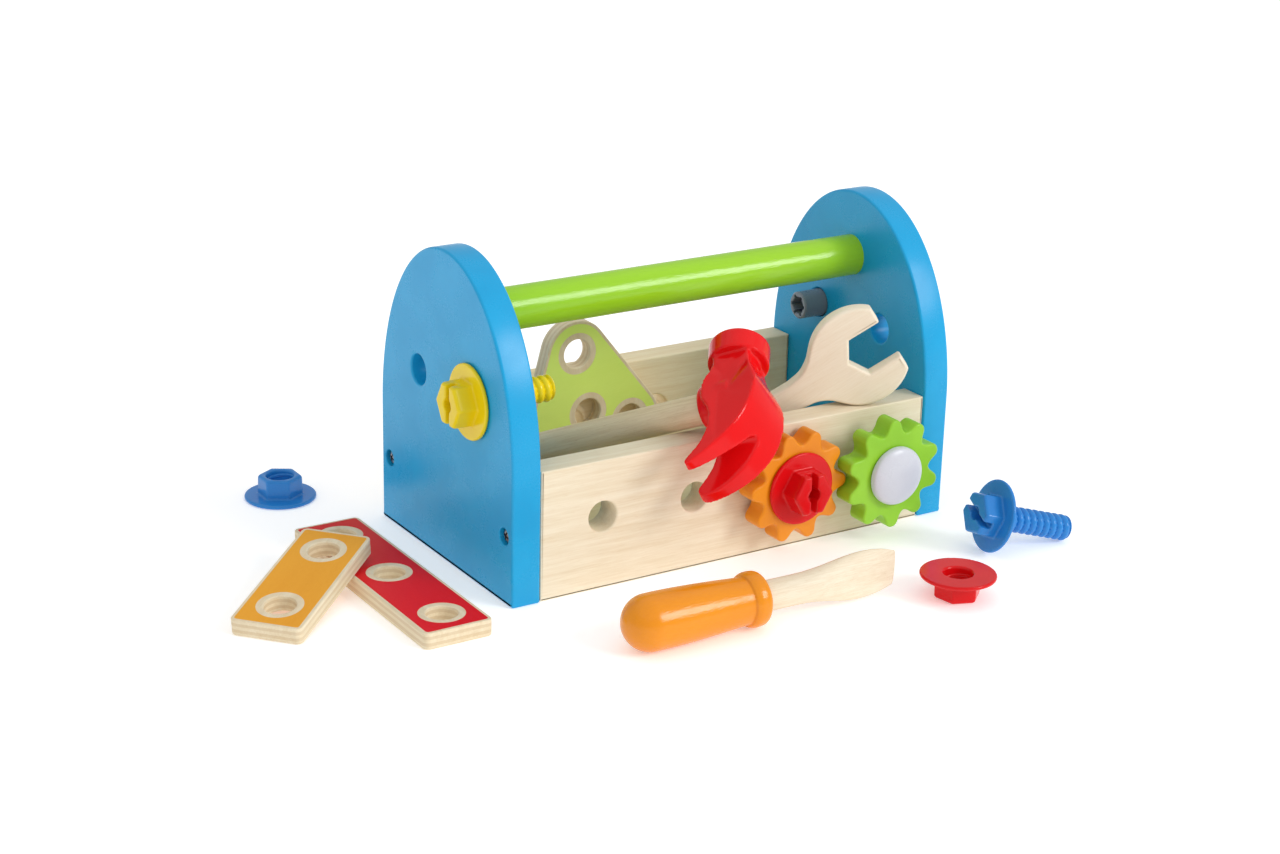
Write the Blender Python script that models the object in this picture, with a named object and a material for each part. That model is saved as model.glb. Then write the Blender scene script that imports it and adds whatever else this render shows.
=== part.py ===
# A wooden carry box with toy tools: two arched end panels joined by boards and a round
# carry handle, with bolts, pegs and gears in its holes, tools in its tray and loose pieces
# around it. Sizes below are in millimetres and become metres where a mesh is made.
# World axes: X runs along the carry handle, Y from front to back, Z up from the surface
# that the box stands on; the origin is under the middle of the box.
import math

import bmesh
import bpy
from mathutils import Matrix, Vector

MM = 0.001
GAP = 0.3               # between pieces that touch
EPS = 1.0               # how far a cutter runs past a face

# The box
BOX_LENGTH = 250.0      # over the end panels
PANEL_THICK = 15.0
PANEL_HALF_DEPTH = 65.6
PANEL_HEIGHT = 154.0
ARCH_START = 60.8       # height at which a panel's straight sides turn into its arch
BOARD_HEIGHT = 64.0
BOARD_THICK = 15.0
BOARD_OUTER = 65.0      # Y of the outer faces of the front and back boards
BOTTOM_THICK = 9.0
HANDLE_RADIUS = 10.5
HANDLE_Z = 121.0
HANDLE_SOCKET = 8.0     # depth of the handle's blind hole in each panel

# The hole system that every bolt, peg and bar shares
PITCH = 51.0
HOLE_RADIUS = 7.5
HOLE_CHAMFER = 1.0
BOARD_HOLE_Z = 36.0
PANEL_HOLE_Y = 26.0
PANEL_HOLE_Z = 88.5

# Screws and dowels that hold the boards to the panels
SCREW_Y = 57.6
SCREW_Z = 33.0
SCREW_HEAD_RADIUS, SCREW_HEAD_HEIGHT = 3.7, 2.6
SCREW_SHANK_RADIUS, SCREW_LENGTH = 1.8, 32.0
COUNTERBORE_RADIUS, COUNTERBORE_DEPTH = 4.2, 4.0
DOWEL_RADIUS, DOWEL_LENGTH = 3.0, 17.0
DOWEL_HEIGHTS = (14.0, 52.0)

# Toy bolts, nuts and pegs
FLANGE_RADIUS, FLANGE_THICK = 18.0, 1.8
HEX_HEIGHT, HEX_FLATS = 10.3, 19.5
THREAD_LENGTH, THREAD_RADIUS, THREAD_ROOT, THREAD_PITCH = 42.5, 6.5, 5.3, 4.2
NUT_BORE = 6.9
SLOT_WIDTH, SLOT_DEPTH, SLOT_HOLE_RADIUS = 3.4, 5.5, 3.4
PEG_CAP_RADIUS, PEG_RIM, PEG_DOME = 14.8, 2.4, 3.6
PEG_STEM_RADIUS, PEG_STEM_LENGTH = 7.1, 28.6
PEG_HOLLOW_RADIUS, PEG_HOLLOW_DEPTH = 4.4, 10.0

# Gears
TEETH = 10
GEAR_TIP, GEAR_PITCH_RADIUS, GEAR_ROOT, GEAR_THICK = 28.0, 25.5, 21.6, 11.5
TOOTH_TIP, TOOTH_PITCH, TOOTH_ROOT = 2.3, 3.6, 5.0   # half widths at those radii
ORANGE_GEAR_FRONT, ORANGE_PHASE = -79.0, -1.6
GREEN_GEAR_FRONT, GREEN_PHASE = -87.0, 19.6

# Plywood plates
PLATE_THICK, PLATE_HALF_WIDTH, PLATE_CORNER = 8.0, 17.2, 3.0
LONG_BAR_PITCH, SHORT_BAR_PITCH = 52.0, 49.6
TRIANGLE_APEX_ANGLE = 54.0
TRIANGLE_MIDDLE = 33.3  # distance of its middle hole from the hole at its apex

# Tools
WRENCH_THICK, WRENCH_HEAD_RADIUS, WRENCH_JAW = 9.0, 24.9, 20.3
WRENCH_HANDLE_HALF, WRENCH_HANDLE_LENGTH = 7.0, 132.0
HAMMER_HALF_WIDTH = 13.0
HAMMER_DISC_RADIUS, HAMMER_DISC_LOW, HAMMER_DISC_HIGH = 14.8, 22.5, 35.0
HAMMER_HANDLE_RADIUS, HAMMER_HANDLE_START, HAMMER_HANDLE_END = 7.5, 2.0, 122.0
DRIVER_RADIUS, DRIVER_NECK, DRIVER_COLLAR = 13.2, 11.2, 12.9
DRIVER_HANDLE_LENGTH, DRIVER_BLADE_START, DRIVER_LENGTH = 72.0, 52.0, 146.0
BLADE_RADIUS = 7.2

COLORS = {
    "blue": (0.055, 0.36, 0.68), "green": (0.34, 0.68, 0.055), "orange": (0.80, 0.32, 0.025),
    "red": (0.78, 0.020, 0.025), "yellow": (0.84, 0.66, 0.035), "grey": (0.56, 0.58, 0.65),
    "wood": (0.79, 0.66, 0.48), "metal": (0.42, 0.42, 0.44), "lime": (0.55, 0.78, 0.14),
}


def clear_scene():
    for item in list(bpy.data.objects):
        bpy.data.objects.remove(item, do_unlink=True)


def material(name, color, roughness=0.4, metallic=0.0):
    """A Principled material, made once for each name."""
    found = bpy.data.materials.get(name)
    if found:
        return found
    made = bpy.data.materials.new(name)
    made.use_nodes = True
    shader = made.node_tree.nodes["Principled BSDF"]
    shader.inputs["Base Color"].default_value = (*COLORS[color], 1.0)
    shader.inputs["Roughness"].default_value = roughness
    shader.inputs["Metallic"].default_value = metallic
    return made


def move(x, y, z):
    return Matrix.Translation(Vector((x, y, z)) * MM)


def axes(right, up, out, origin):
    """The place of a piece whose X, Y and Z axes point along right, up and out."""
    turn = Matrix((right, up, out)).transposed().to_4x4()
    return move(*origin) @ turn


def aimed(direction, origin, spin=0.0, up=(0, 0, 1)):
    """The place of a turned piece: its Z axis along direction, its X axis level, then spun in degrees."""
    out = Vector(direction).normalized()
    right = Vector(up).cross(out).normalized()
    return axes(right, out.cross(right), out, origin) @ Matrix.Rotation(math.radians(spin), 4, "Z")


def piece(name, mesh_data, place, finish=None, smooth=True):
    """An object from a bmesh in millimetres; without a finish it is a hidden cutter."""
    mesh = bpy.data.meshes.new(name)
    bmesh.ops.scale(mesh_data, vec=(MM, MM, MM), verts=mesh_data.verts)
    mesh_data.to_mesh(mesh)
    mesh_data.free()
    made = bpy.data.objects.new(name, mesh)
    bpy.context.scene.collection.objects.link(made)
    made.matrix_world = place
    if finish:
        mesh.materials.append(finish)
        if smooth:
            mesh.shade_smooth()
            mesh.set_sharp_from_angle(angle=math.radians(35))
    else:
        made.hide_render = True
        made.display_type = "WIRE"
    return made


def combine(target, other, operation):
    step = target.modifiers.new(f"{operation.lower()} {other.name}", "BOOLEAN")
    step.operation = operation
    step.object = other
    step.solver = "EXACT"


def cut(target, name, mesh_data, place):
    combine(target, piece(f"{name}_cutter", mesh_data, place), "DIFFERENCE")


def join(target, name, mesh_data, place):
    combine(target, piece(f"{name}_part", mesh_data, place), "UNION")


def turned(profile, segments=24):
    """A solid of revolution about Z from (radius, height) points that run upwards."""
    made = bmesh.new()
    rings = []
    for radius, height in profile:
        if radius < 1e-6:
            rings.append([made.verts.new((0, 0, height))])
            continue
        steps = [2 * math.pi * k / segments for k in range(segments)]
        rings.append([made.verts.new((radius * math.cos(a), radius * math.sin(a), height)) for a in steps])
    for low, high in zip(rings, rings[1:]):
        for k in range(segments):
            j = (k + 1) % segments
            corners = [low[k % len(low)], low[j % len(low)], high[j % len(high)], high[k % len(high)]]
            made.faces.new(list(dict.fromkeys(corners)))
    if len(rings[0]) > 1:
        made.faces.new(rings[0][::-1])
    if len(rings[-1]) > 1:
        made.faces.new(rings[-1])
    return made


def rod(radius, low, high, segments=24):
    return turned([(radius, low), (radius, high)], segments)


def prism(outline, low, high):
    """A straight extrusion along Z of a counterclockwise outline."""
    return loft([[(x, y, low) for x, y in outline], [(x, y, high) for x, y in outline]])


def loft(sections):
    """A closed solid through sections of equally many points, counterclockwise about their advance."""
    made = bmesh.new()
    rings = [[made.verts.new(point) for point in section] for section in sections]
    count = len(rings[0])
    for low, high in zip(rings, rings[1:]):
        for k in range(count):
            j = (k + 1) % count
            made.faces.new((low[k], low[j], high[j], high[k]))
    made.faces.new(rings[0][::-1])
    made.faces.new(rings[-1])
    return made


def rectangle(x0, y0, x1, y1):
    return [(x0, y0), (x1, y0), (x1, y1), (x0, y1)]


def arc(cx, cy, rx, ry, start, end, steps):
    """Points of an elliptical arc, angles in degrees."""
    angles = [math.radians(start + (end - start) * k / steps) for k in range(steps + 1)]
    return [(cx + rx * math.cos(a), cy + ry * math.sin(a)) for a in angles]


def hexagon(flats, turn=0.0):
    radius = flats / math.sqrt(3)
    return arc(0, 0, radius, radius, turn, turn + 300, 5)


def hole(radius, length, chamfer=HOLE_CHAMFER, segments=24):
    """A cutter for a through hole with a chamfer at both mouths, from Z = 0 to length."""
    wide = radius + chamfer
    return turned([(wide, -EPS), (wide, 0), (radius, chamfer), (radius, length - chamfer),
                   (wide, length), (wide, length + EPS)], segments)


# ---- the box -------------------------------------------------------------------------


def panel_outline():
    half = PANEL_HALF_DEPTH
    arch = arc(0, ARCH_START, half, PANEL_HEIGHT - ARCH_START, 0, 180, 32)
    return [(-half, 0), (half, 0), *arch]


def end_panel(name, side):
    """side is -1 for the left panel and 1 for the right one; its local Z points into the box."""
    outer = side * BOX_LENGTH / 2
    place = axes((0, -side, 0), (0, 0, 1), (-side, 0, 0), (outer, 0, 0))
    panel = piece(name, prism(panel_outline(), 0, PANEL_THICK), place, material("panel_blue", "blue", 0.3))
    for y in (-PANEL_HOLE_Y, PANEL_HOLE_Y):
        at = place @ move(y, PANEL_HOLE_Z, 0)
        cut(panel, f"{name}_hole_{y:+.0f}", hole(HOLE_RADIUS, PANEL_THICK), at)
    floor = PANEL_THICK - HANDLE_SOCKET
    socket = rod(HANDLE_RADIUS + GAP, floor, PANEL_THICK + EPS, 32)
    cut(panel, f"{name}_socket", socket, place @ move(0, HANDLE_Z, 0))
    for y in (-SCREW_Y, SCREW_Y):
        shank = SCREW_SHANK_RADIUS + GAP
        profile = [(COUNTERBORE_RADIUS, -EPS), (COUNTERBORE_RADIUS, COUNTERBORE_DEPTH),
                   (shank, COUNTERBORE_DEPTH), (shank, PANEL_THICK + EPS)]
        cut(panel, f"{name}_screw_{y:+.0f}", turned(profile, 16), place @ move(y, SCREW_Z, 0))
        for z in DOWEL_HEIGHTS:
            drilled = rod(DOWEL_RADIUS + GAP, PANEL_THICK - DOWEL_LENGTH / 2, PANEL_THICK + EPS, 12)
            cut(panel, f"{name}_dowel_{y:+.0f}_{z:.0f}", drilled, place @ move(y, z, 0))
    return panel


def side_board(name, side):
    """side is -1 for the front board and 1 for the back one."""
    half = BOX_LENGTH / 2 - PANEL_THICK - GAP
    inner = BOARD_OUTER - BOARD_THICK
    outline = rectangle(-half, 0, half, BOARD_HEIGHT)
    place = axes((1, 0, 0), (0, 0, 1), (0, -1, 0), (0, -inner if side < 0 else BOARD_OUTER, 0))
    board = piece(name, prism(outline, 0, BOARD_THICK), place, material("board_wood", "wood", 0.5))
    for k in (-1.5, -0.5, 0.5, 1.5):
        at = place @ move(k * PITCH, BOARD_HOLE_Z, 0)
        cut(board, f"{name}_hole_{k:+.1f}", hole(HOLE_RADIUS, BOARD_THICK), at)
    middle = side * SCREW_Y
    for end in (-1, 1):
        into = (-end, 0, 0)
        start = (end * half, middle, SCREW_Z)
        pilot = rod(SCREW_SHANK_RADIUS + GAP, -EPS, SCREW_LENGTH - PANEL_THICK + COUNTERBORE_DEPTH, 16)
        cut(board, f"{name}_pilot_{end:+d}", pilot, aimed(into, start))
        for z in DOWEL_HEIGHTS:
            drilled = rod(DOWEL_RADIUS + GAP, -EPS, DOWEL_LENGTH / 2 + GAP, 12)
            cut(board, f"{name}_dowel_{end:+d}_{z:.0f}", drilled, aimed(into, (end * half, middle, z)))
    return board


def bottom_board():
    x = BOX_LENGTH / 2 - PANEL_THICK - GAP
    y = BOARD_OUTER - BOARD_THICK - GAP
    board = prism(rectangle(-x, -y, x, y), 0, BOTTOM_THICK)
    piece("bottom_board", board, move(0, 0, 0), material("board_wood", "wood", 0.5))


def carry_handle():
    half = BOX_LENGTH / 2 - PANEL_THICK + HANDLE_SOCKET - GAP
    solid = rod(HANDLE_RADIUS, -half, half, 32)
    piece("carry_handle", solid, aimed((1, 0, 0), (0, 0, HANDLE_Z)), material("handle_green", "green", 0.3))


def fasteners():
    """A screw and two dowels for each end of the front and back boards."""
    for side, end_name in ((-1, "left"), (1, "right")):
        for row, row_name in ((-1, "front"), (1, "back")):
            y = row * SCREW_Y
            seat = side * (BOX_LENGTH / 2 - COUNTERBORE_DEPTH + GAP)
            head, shank = SCREW_HEAD_RADIUS, SCREW_SHANK_RADIUS
            profile = [(head * 0.7, -SCREW_HEAD_HEIGHT), (head, -SCREW_HEAD_HEIGHT * 0.4), (head, 0),
                       (shank, 0), (shank, SCREW_LENGTH - 3), (0, SCREW_LENGTH)]
            place = aimed((-side, 0, 0), (seat, y, SCREW_Z))
            metal = material("screw_metal", "metal", 0.3, 1.0)
            piece(f"{row_name}_{end_name}_screw", turned(profile, 16), place, metal)
            for z, height in zip(DOWEL_HEIGHTS, ("lower", "upper")):
                inner = side * (BOX_LENGTH / 2 - PANEL_THICK)
                dowel = rod(DOWEL_RADIUS, -DOWEL_LENGTH / 2 + GAP, DOWEL_LENGTH / 2 - GAP, 12)
                name = f"{row_name}_{end_name}_{height}_dowel"
                piece(name, dowel, aimed((-side, 0, 0), (inner, y, z)), material("dowel_wood", "wood", 0.6))


# ---- bolts, nuts, pegs and gears -----------------------------------------------------


def ridges(root, crest, pitch, start, end):
    """(radius, height) points of rounded thread ridges."""
    points = [(root, start)]
    count = int((end - start) / pitch)
    for k in range(count):
        low = start + k * pitch
        points += [(root, low + 0.2 * pitch), (crest, low + 0.42 * pitch),
                   (crest, low + 0.78 * pitch), (root, low + pitch)]
    return points


def bolt(name, color, direction, origin, spin=0.0):
    """origin is the middle of the flange's underside and direction runs down the thread."""
    place = aimed(direction, origin, spin)
    thread = ridges(THREAD_ROOT, THREAD_RADIUS, THREAD_PITCH, 0.0, THREAD_LENGTH - 0.5)
    profile = [(FLANGE_RADIUS, -FLANGE_THICK), (FLANGE_RADIUS, 0), *thread,
               (THREAD_ROOT - 0.8, THREAD_LENGTH)]
    body = piece(name, turned(profile, 16), place, material(f"bolt_{color}", color, 0.25))
    low = -FLANGE_THICK - HEX_HEIGHT
    join(body, f"{name}_head", prism(hexagon(HEX_FLATS), low, -FLANGE_THICK / 2), place)
    slot = rectangle(-SLOT_WIDTH / 2, -FLANGE_RADIUS, SLOT_WIDTH / 2, FLANGE_RADIUS)
    cut(body, f"{name}_slot", prism(slot, low - EPS, low + SLOT_DEPTH), place)
    cut(body, f"{name}_centre", rod(SLOT_HOLE_RADIUS, low - EPS, low + SLOT_DEPTH + 2.0, 16), place)
    return body


def nut(name, color, direction, origin, spin=0.0):
    """origin is the middle of the flange's outer face and direction runs towards the hexagon."""
    place = aimed(direction, origin, spin, up=(0, 1, 0))
    body = piece(name, rod(FLANGE_RADIUS, 0, FLANGE_THICK, 32), place, material(f"bolt_{color}", color, 0.25))
    top = FLANGE_THICK + HEX_HEIGHT
    join(body, f"{name}_hexagon", prism(hexagon(HEX_FLATS), FLANGE_THICK / 2, top), place)
    cut(body, f"{name}_bore", rod(NUT_BORE, -EPS, top + EPS, 24), place)
    return body


def peg(name, direction, origin):
    """origin is the middle of the cap's underside and direction runs down the stem."""
    dome = [(PEG_CAP_RADIUS * math.cos(a), -PEG_RIM - PEG_DOME * math.sin(a))
            for a in (math.radians(d) for d in (66, 44, 22, 0))]
    hollow = PEG_STEM_LENGTH - PEG_HOLLOW_DEPTH
    profile = [(0, -PEG_RIM - PEG_DOME), *dome, (PEG_CAP_RADIUS, 0), (PEG_STEM_RADIUS, 0),
               (PEG_STEM_RADIUS, PEG_STEM_LENGTH), (PEG_HOLLOW_RADIUS, PEG_STEM_LENGTH),
               (PEG_HOLLOW_RADIUS, hollow), (0, hollow)]
    piece(name, turned(profile, 24), aimed(direction, origin), material("peg_grey", "grey", 0.3))


def gear(name, color, x, front, phase):
    """A gear with its axis along Y; phase is the angle of one tooth from +X towards +Z."""
    outline = []
    for k in range(TEETH):
        middle = math.radians(phase) + 2 * math.pi * k / TEETH
        half = [(GEAR_ROOT, TOOTH_ROOT), (GEAR_PITCH_RADIUS, TOOTH_PITCH),
                (GEAR_TIP - 0.9, TOOTH_TIP), (GEAR_TIP, TOOTH_TIP * 0.5)]
        tooth = [(r, -w / r) for r, w in half] + [(r, w / r) for r, w in reversed(half)]
        outline += [(r * math.cos(middle + a), r * math.sin(middle + a)) for r, a in tooth]
    place = axes((1, 0, 0), (0, 0, 1), (0, -1, 0), (x, front + GEAR_THICK, BOARD_HOLE_Z))
    body = piece(name, prism(outline, 0, GEAR_THICK), place, material(f"gear_{color}", color, 0.35))
    cut(body, f"{name}_bore", rod(HOLE_RADIUS, -EPS, GEAR_THICK + EPS, 24), place)


# ---- plates and tools ----------------------------------------------------------------


def offset_outline(corners, radius, steps=6):
    """The outline at a distance round a convex polygon, with round corners."""
    points = []
    count = len(corners)
    for k, (x, y) in enumerate(corners):
        before, after = corners[k - 1], corners[(k + 1) % count]
        start = math.degrees(math.atan2(y - before[1], x - before[0])) - 90
        end = math.degrees(math.atan2(after[1] - y, after[0] - x)) - 90
        points += arc(x, y, radius, radius, start, start + (end - start) % 360, steps)
    return points


def plate(name, finish, outline, holes, place):
    body = piece(name, prism(outline, 0, PLATE_THICK), place, finish)
    for k, (x, y) in enumerate(holes):
        cut(body, f"{name}_hole_{k}", hole(HOLE_RADIUS, PLATE_THICK, 0.6), place @ move(x, y, 0))


def bar(name, color, count, pitch, place):
    """A bar with count holes along its Y axis, lying on its local Z = 0."""
    half = (count - 1) * pitch / 2
    x, y = PLATE_HALF_WIDTH - PLATE_CORNER, half + PLATE_HALF_WIDTH - PLATE_CORNER
    outline = offset_outline(rectangle(-x, -y, x, y), PLATE_CORNER, 3)
    holes = [(0, k * pitch - half) for k in range(count)]
    plate(name, material(f"bar_{color}", color, 0.35), outline, holes, place)


def triangle_plate(apex, turn):
    """Standing against the back board: apex is its top hole, turn its lean in degrees."""
    half = math.radians(TRIANGLE_APEX_ANGLE / 2)
    low, wide = -PITCH * math.cos(half), PITCH * math.sin(half)
    corners = [(-wide, low), (wide, low), (0, 0)]
    place = axes((1, 0, 0), (0, 0, 1), (0, -1, 0), apex) @ Matrix.Rotation(math.radians(turn), 4, "Z")
    holes = corners + [(0, -TRIANGLE_MIDDLE)]
    outline = offset_outline(corners, PLATE_HALF_WIDTH)
    plate("triangle_plate", material("plate_lime", "lime", 0.4), outline, holes, place)


def wrench(origin, yaw, jaw_angle, handle_angle):
    """A flat open wrench. origin is its jaw's centre on the front face, yaw its turn about Z."""
    right = Vector((math.cos(math.radians(yaw)), -math.sin(math.radians(yaw)), 0))
    up = Vector((0, 0, 1))
    place = axes(right, up, right.cross(up), origin)
    jaw = math.radians(jaw_angle)
    back = -5.7             # from the jaw's centre to the head's centre, along the jaw
    centre = (back * math.cos(jaw), back * math.sin(jaw))
    head = arc(*centre, WRENCH_HEAD_RADIUS, WRENCH_HEAD_RADIUS, 0, 352.5, 47)
    body = piece("wrench", prism(head, -WRENCH_THICK, 0), place, material("tool_wood", "wood", 0.55))
    along = place @ move(*centre, 0) @ Matrix.Rotation(math.radians(handle_angle), 4, "Z")
    half, end, radius = WRENCH_HANDLE_HALF, WRENCH_HANDLE_LENGTH, WRENCH_HEAD_RADIUS
    shaft = [(2, 18), (2, -18), (19, -17), (radius - 1, -12.4),
             (radius + 4, -half - 1.5), (radius + 10, -half),
             *arc(end - half, 0, half, half, -90, 90, 10), (radius + 10, half), (radius + 4, half + 0.6),
             (radius - 1, half + 3.2), (20, 15)]
    join(body, "wrench_handle", prism(shaft, -WRENCH_THICK, 0), along @ move(0, 1.2, 0))
    mouth = place @ Matrix.Rotation(jaw, 4, "Z")
    radius = WRENCH_JAW / math.sqrt(3)
    reach = WRENCH_HEAD_RADIUS * 2
    opening = [(-radius, 0), (-radius / 2, -WRENCH_JAW / 2), (reach, -WRENCH_JAW / 2),
               (reach, WRENCH_JAW / 2), (-radius / 2, WRENCH_JAW / 2)]
    cut(body, "wrench_jaw", prism(opening, -WRENCH_THICK - EPS, EPS), mouth)
    tips = rectangle(11.5, -WRENCH_HEAD_RADIUS * 2, reach, WRENCH_HEAD_RADIUS * 2)
    cut(body, "wrench_tips", prism(tips, -WRENCH_THICK - 2 * EPS, 2 * EPS), mouth)


def hammer(origin, handle_way, strike_way):
    """origin is where the handle's axis crosses the head's; the ways are those two axes.

    Locally X runs along the handle, Y up to the striking face and Z towards the near claw."""
    along = Vector(handle_way).normalized()
    strike = Vector(strike_way)
    strike = (strike - strike.dot(along) * along).normalized()
    place = axes(along, strike, along.cross(strike), origin)
    # the claws and cheeks in profile: convex side, tip, hollow side, socket, neck
    profile = [(-9.5, 23.0), (-11.5, 14.5), (-15.5, 7.0), (-18.4, -1.0), (-19.2, -9.0), (-18.4, -17.5),
               (-16.0, -26.0), (-12.0, -33.0), (-6.0, -39.0), (1.0, -43.6), (8.0, -46.8), (15.0, -48.3),
               (18.4, -47.2), (19.9, -44.6), (18.6, -42.0), (15.2, -38.8), (11.6, -34.0), (9.3, -28.5),
               (8.0, -22.5), (7.6, -15.0), (9.0, 0.0), (9.0, 12.0), (9.5, 23.0)]
    half = HAMMER_HALF_WIDTH
    head = piece("hammer_head", prism(profile, -half, half), place, material("hammer_red", "red", 0.2))
    rise = place @ Matrix.Rotation(math.radians(-90), 4, "X")
    r, low, high = HAMMER_DISC_RADIUS, HAMMER_DISC_LOW, HAMMER_DISC_HIGH
    disc = [(8.0, low - 12), (10.5, low - 6), (10.5, low), (r, low + 0.4), (r, high - 1), (r - 1, high)]
    join(head, "hammer_disc", turned(disc, 32), rise)
    sleeve = place @ Matrix.Rotation(math.radians(90), 4, "Y")
    join(head, "hammer_socket", turned([(12.6, 0.0), (12.4, 9.0), (10.6, 15.2), (9.6, 16.4)], 24), sleeve)
    slot = [(-25.4, 0.0), (-27.0, 2.2), (-52.0, 9.4), (-52.0, -9.4), (-27.0, -2.2)]
    wedge = place @ Matrix(((0, 0, 1, 0), (1, 0, 0, 0), (0, 1, 0, 0), (0, 0, 0, 1)))
    cut(head, "hammer_slot", prism(slot, -40, 40), wedge)
    start = HAMMER_HANDLE_START - GAP
    cut(head, "hammer_bore", rod(HAMMER_HANDLE_RADIUS + GAP, start, 60, 24), sleeve)
    r, end = HAMMER_HANDLE_RADIUS, HAMMER_HANDLE_END
    handle = turned([(r, HAMMER_HANDLE_START), (r, end - 4), (r * 0.86, end - 1.4), (r * 0.5, end)], 24)
    piece("hammer_handle", handle, sleeve, material("tool_wood", "wood", 0.55))


def screwdriver(end, direction, roll):
    """end is the round end of the handle; the blade's flat is rolled from upright in degrees."""
    place = aimed(direction, end, roll)
    dome = [(DRIVER_RADIUS * math.sin(a), 13.0 - 13.0 * math.cos(a))
            for a in (math.radians(d) for d in (0, 22, 45, 68, 90))]
    collar = DRIVER_HANDLE_LENGTH - 10
    bore, seat = BLADE_RADIUS + GAP, DRIVER_BLADE_START - GAP
    profile = [*dome, (DRIVER_RADIUS, 22), (12.5, 40), (DRIVER_NECK, collar - 1), (DRIVER_NECK, collar),
               (DRIVER_COLLAR - 0.8, collar + 1), (DRIVER_COLLAR, collar + 4), (DRIVER_COLLAR, collar + 6),
               (DRIVER_COLLAR - 1.6, collar + 9.2), (DRIVER_COLLAR - 4, DRIVER_HANDLE_LENGTH),
               (bore, DRIVER_HANDLE_LENGTH), (bore, seat), (0, seat)]
    piece("screwdriver_handle", turned(profile, 28), place, material("driver_orange", "orange", 0.25))
    # distance along the tool, half width and half thickness
    stations = [(DRIVER_BLADE_START, BLADE_RADIUS, BLADE_RADIUS), (92, BLADE_RADIUS, BLADE_RADIUS),
                (100, 7.9, 6.6), (108, 9.4, 5.6), (116, 11.0, 4.8), (124, 12.0, 4.0),
                (131, 12.0, 3.2), (138, 11.1, 2.4), (DRIVER_LENGTH, 8.7, 1.5)]
    sections = []
    for height, wide, thick in stations:
        sections.append([(x, y, height) for x, y in arc(0, 0, thick, wide, 0, 345, 23)])
    piece("screwdriver_blade", loft(sections), place, material("tool_wood", "wood", 0.55))


# ---- everything in its place ---------------------------------------------------------


def build_box():
    end_panel("left_end_panel", -1)
    end_panel("right_end_panel", 1)
    side_board("front_board", -1)
    side_board("back_board", 1)
    bottom_board()
    carry_handle()
    fasteners()


def build_fitted_pieces():
    outside = BOX_LENGTH / 2 + GAP
    bolt("yellow_bolt", "yellow", (1, 0, 0), (-outside, -PANEL_HOLE_Y, PANEL_HOLE_Z), 0)
    bolt("red_bolt", "red", (0, 1, 0), (PITCH / 2, ORANGE_GEAR_FRONT - GAP, BOARD_HOLE_Z), 0)
    peg("front_peg", (0, 1, 0), (1.5 * PITCH, GREEN_GEAR_FRONT - GAP, BOARD_HOLE_Z))
    peg("right_peg", (-1, 0, 0), (outside, PANEL_HOLE_Y, PANEL_HOLE_Z))
    gear("orange_gear", "orange", PITCH / 2, ORANGE_GEAR_FRONT, ORANGE_PHASE)
    gear("green_gear", "green", 1.5 * PITCH, GREEN_GEAR_FRONT, GREEN_PHASE)


def build_tools():
    wrench((75.3, -63.8, 92.6), yaw=30, jaw_angle=34, handle_angle=213)
    hammer((-6.0, -67.8, 81.7), (-0.633, 0.694, -0.344), (0.526, 0.711, 0.466))
    screwdriver((-106.5, -132.5, DRIVER_RADIUS), (1, -0.025, 0), 2)
    against_back = BOARD_OUTER - BOARD_THICK - GAP
    triangle_plate((-27.5, against_back, 76.6), 12)


def build_loose_pieces():
    nut("blue_nut", "blue", (0, 0, 1), (-159.7, 112.3, 0), 30)
    top = FLANGE_THICK + HEX_HEIGHT
    nut("red_nut", "red", (0, 0, -1), (64, -154, top), 20)
    # the blue bolt lies on its flange's rim and its thread's tip
    tilt = math.asin((FLANGE_RADIUS - THREAD_RADIUS) / THREAD_LENGTH)
    level = Vector((0.983, -0.184, 0)).normalized()
    down = level * math.cos(tilt) - Vector((0, 0, math.sin(tilt)))
    rim = Vector((111.2, -117.0, 0))
    across = (level * math.sin(tilt) + Vector((0, 0, math.cos(tilt)))) * FLANGE_RADIUS
    bolt("blue_bolt", "blue", down, rim + across, -73)
    bar("red_bar", "red", 3, LONG_BAR_PITCH, move(-163.0, -17.0, 0))
    # the orange bar leans from the surface over the red bar's edge
    lean = math.radians(8.1)
    along = Vector((0.749, 0.663, 0)).normalized()
    slope = along * math.cos(lean) + Vector((0, 0, math.sin(lean)))
    side = along.cross(Vector((0, 0, 1)))
    foot = Vector((-236.3, -41.6, 0))
    middle = foot + slope * (SHORT_BAR_PITCH / 2 + PLATE_HALF_WIDTH)
    bar("orange_bar", "orange", 2, SHORT_BAR_PITCH, axes(side, slope, side.cross(slope), middle))


def main():
    clear_scene()
    build_box()
    build_fitted_pieces()
    build_tools()
    build_loose_pieces()


main()
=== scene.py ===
import math

import bmesh
import bpy
from mathutils import Matrix, Vector


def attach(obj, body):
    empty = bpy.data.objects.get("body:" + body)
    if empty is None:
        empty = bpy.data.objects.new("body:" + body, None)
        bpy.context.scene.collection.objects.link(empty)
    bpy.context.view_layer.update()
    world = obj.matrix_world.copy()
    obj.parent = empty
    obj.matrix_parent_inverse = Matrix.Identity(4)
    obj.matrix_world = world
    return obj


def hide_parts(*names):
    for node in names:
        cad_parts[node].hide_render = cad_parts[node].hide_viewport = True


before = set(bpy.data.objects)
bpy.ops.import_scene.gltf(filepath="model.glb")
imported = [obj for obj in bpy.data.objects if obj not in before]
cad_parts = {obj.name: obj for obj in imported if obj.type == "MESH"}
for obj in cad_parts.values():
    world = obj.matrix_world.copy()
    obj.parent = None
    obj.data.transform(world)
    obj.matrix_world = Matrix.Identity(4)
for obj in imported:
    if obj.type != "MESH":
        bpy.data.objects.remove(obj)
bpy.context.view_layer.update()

# Shapes are drawn in millimetres and shrunk to metres when a piece is finished.
mm = 0.001


# Drawing helpers

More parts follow.
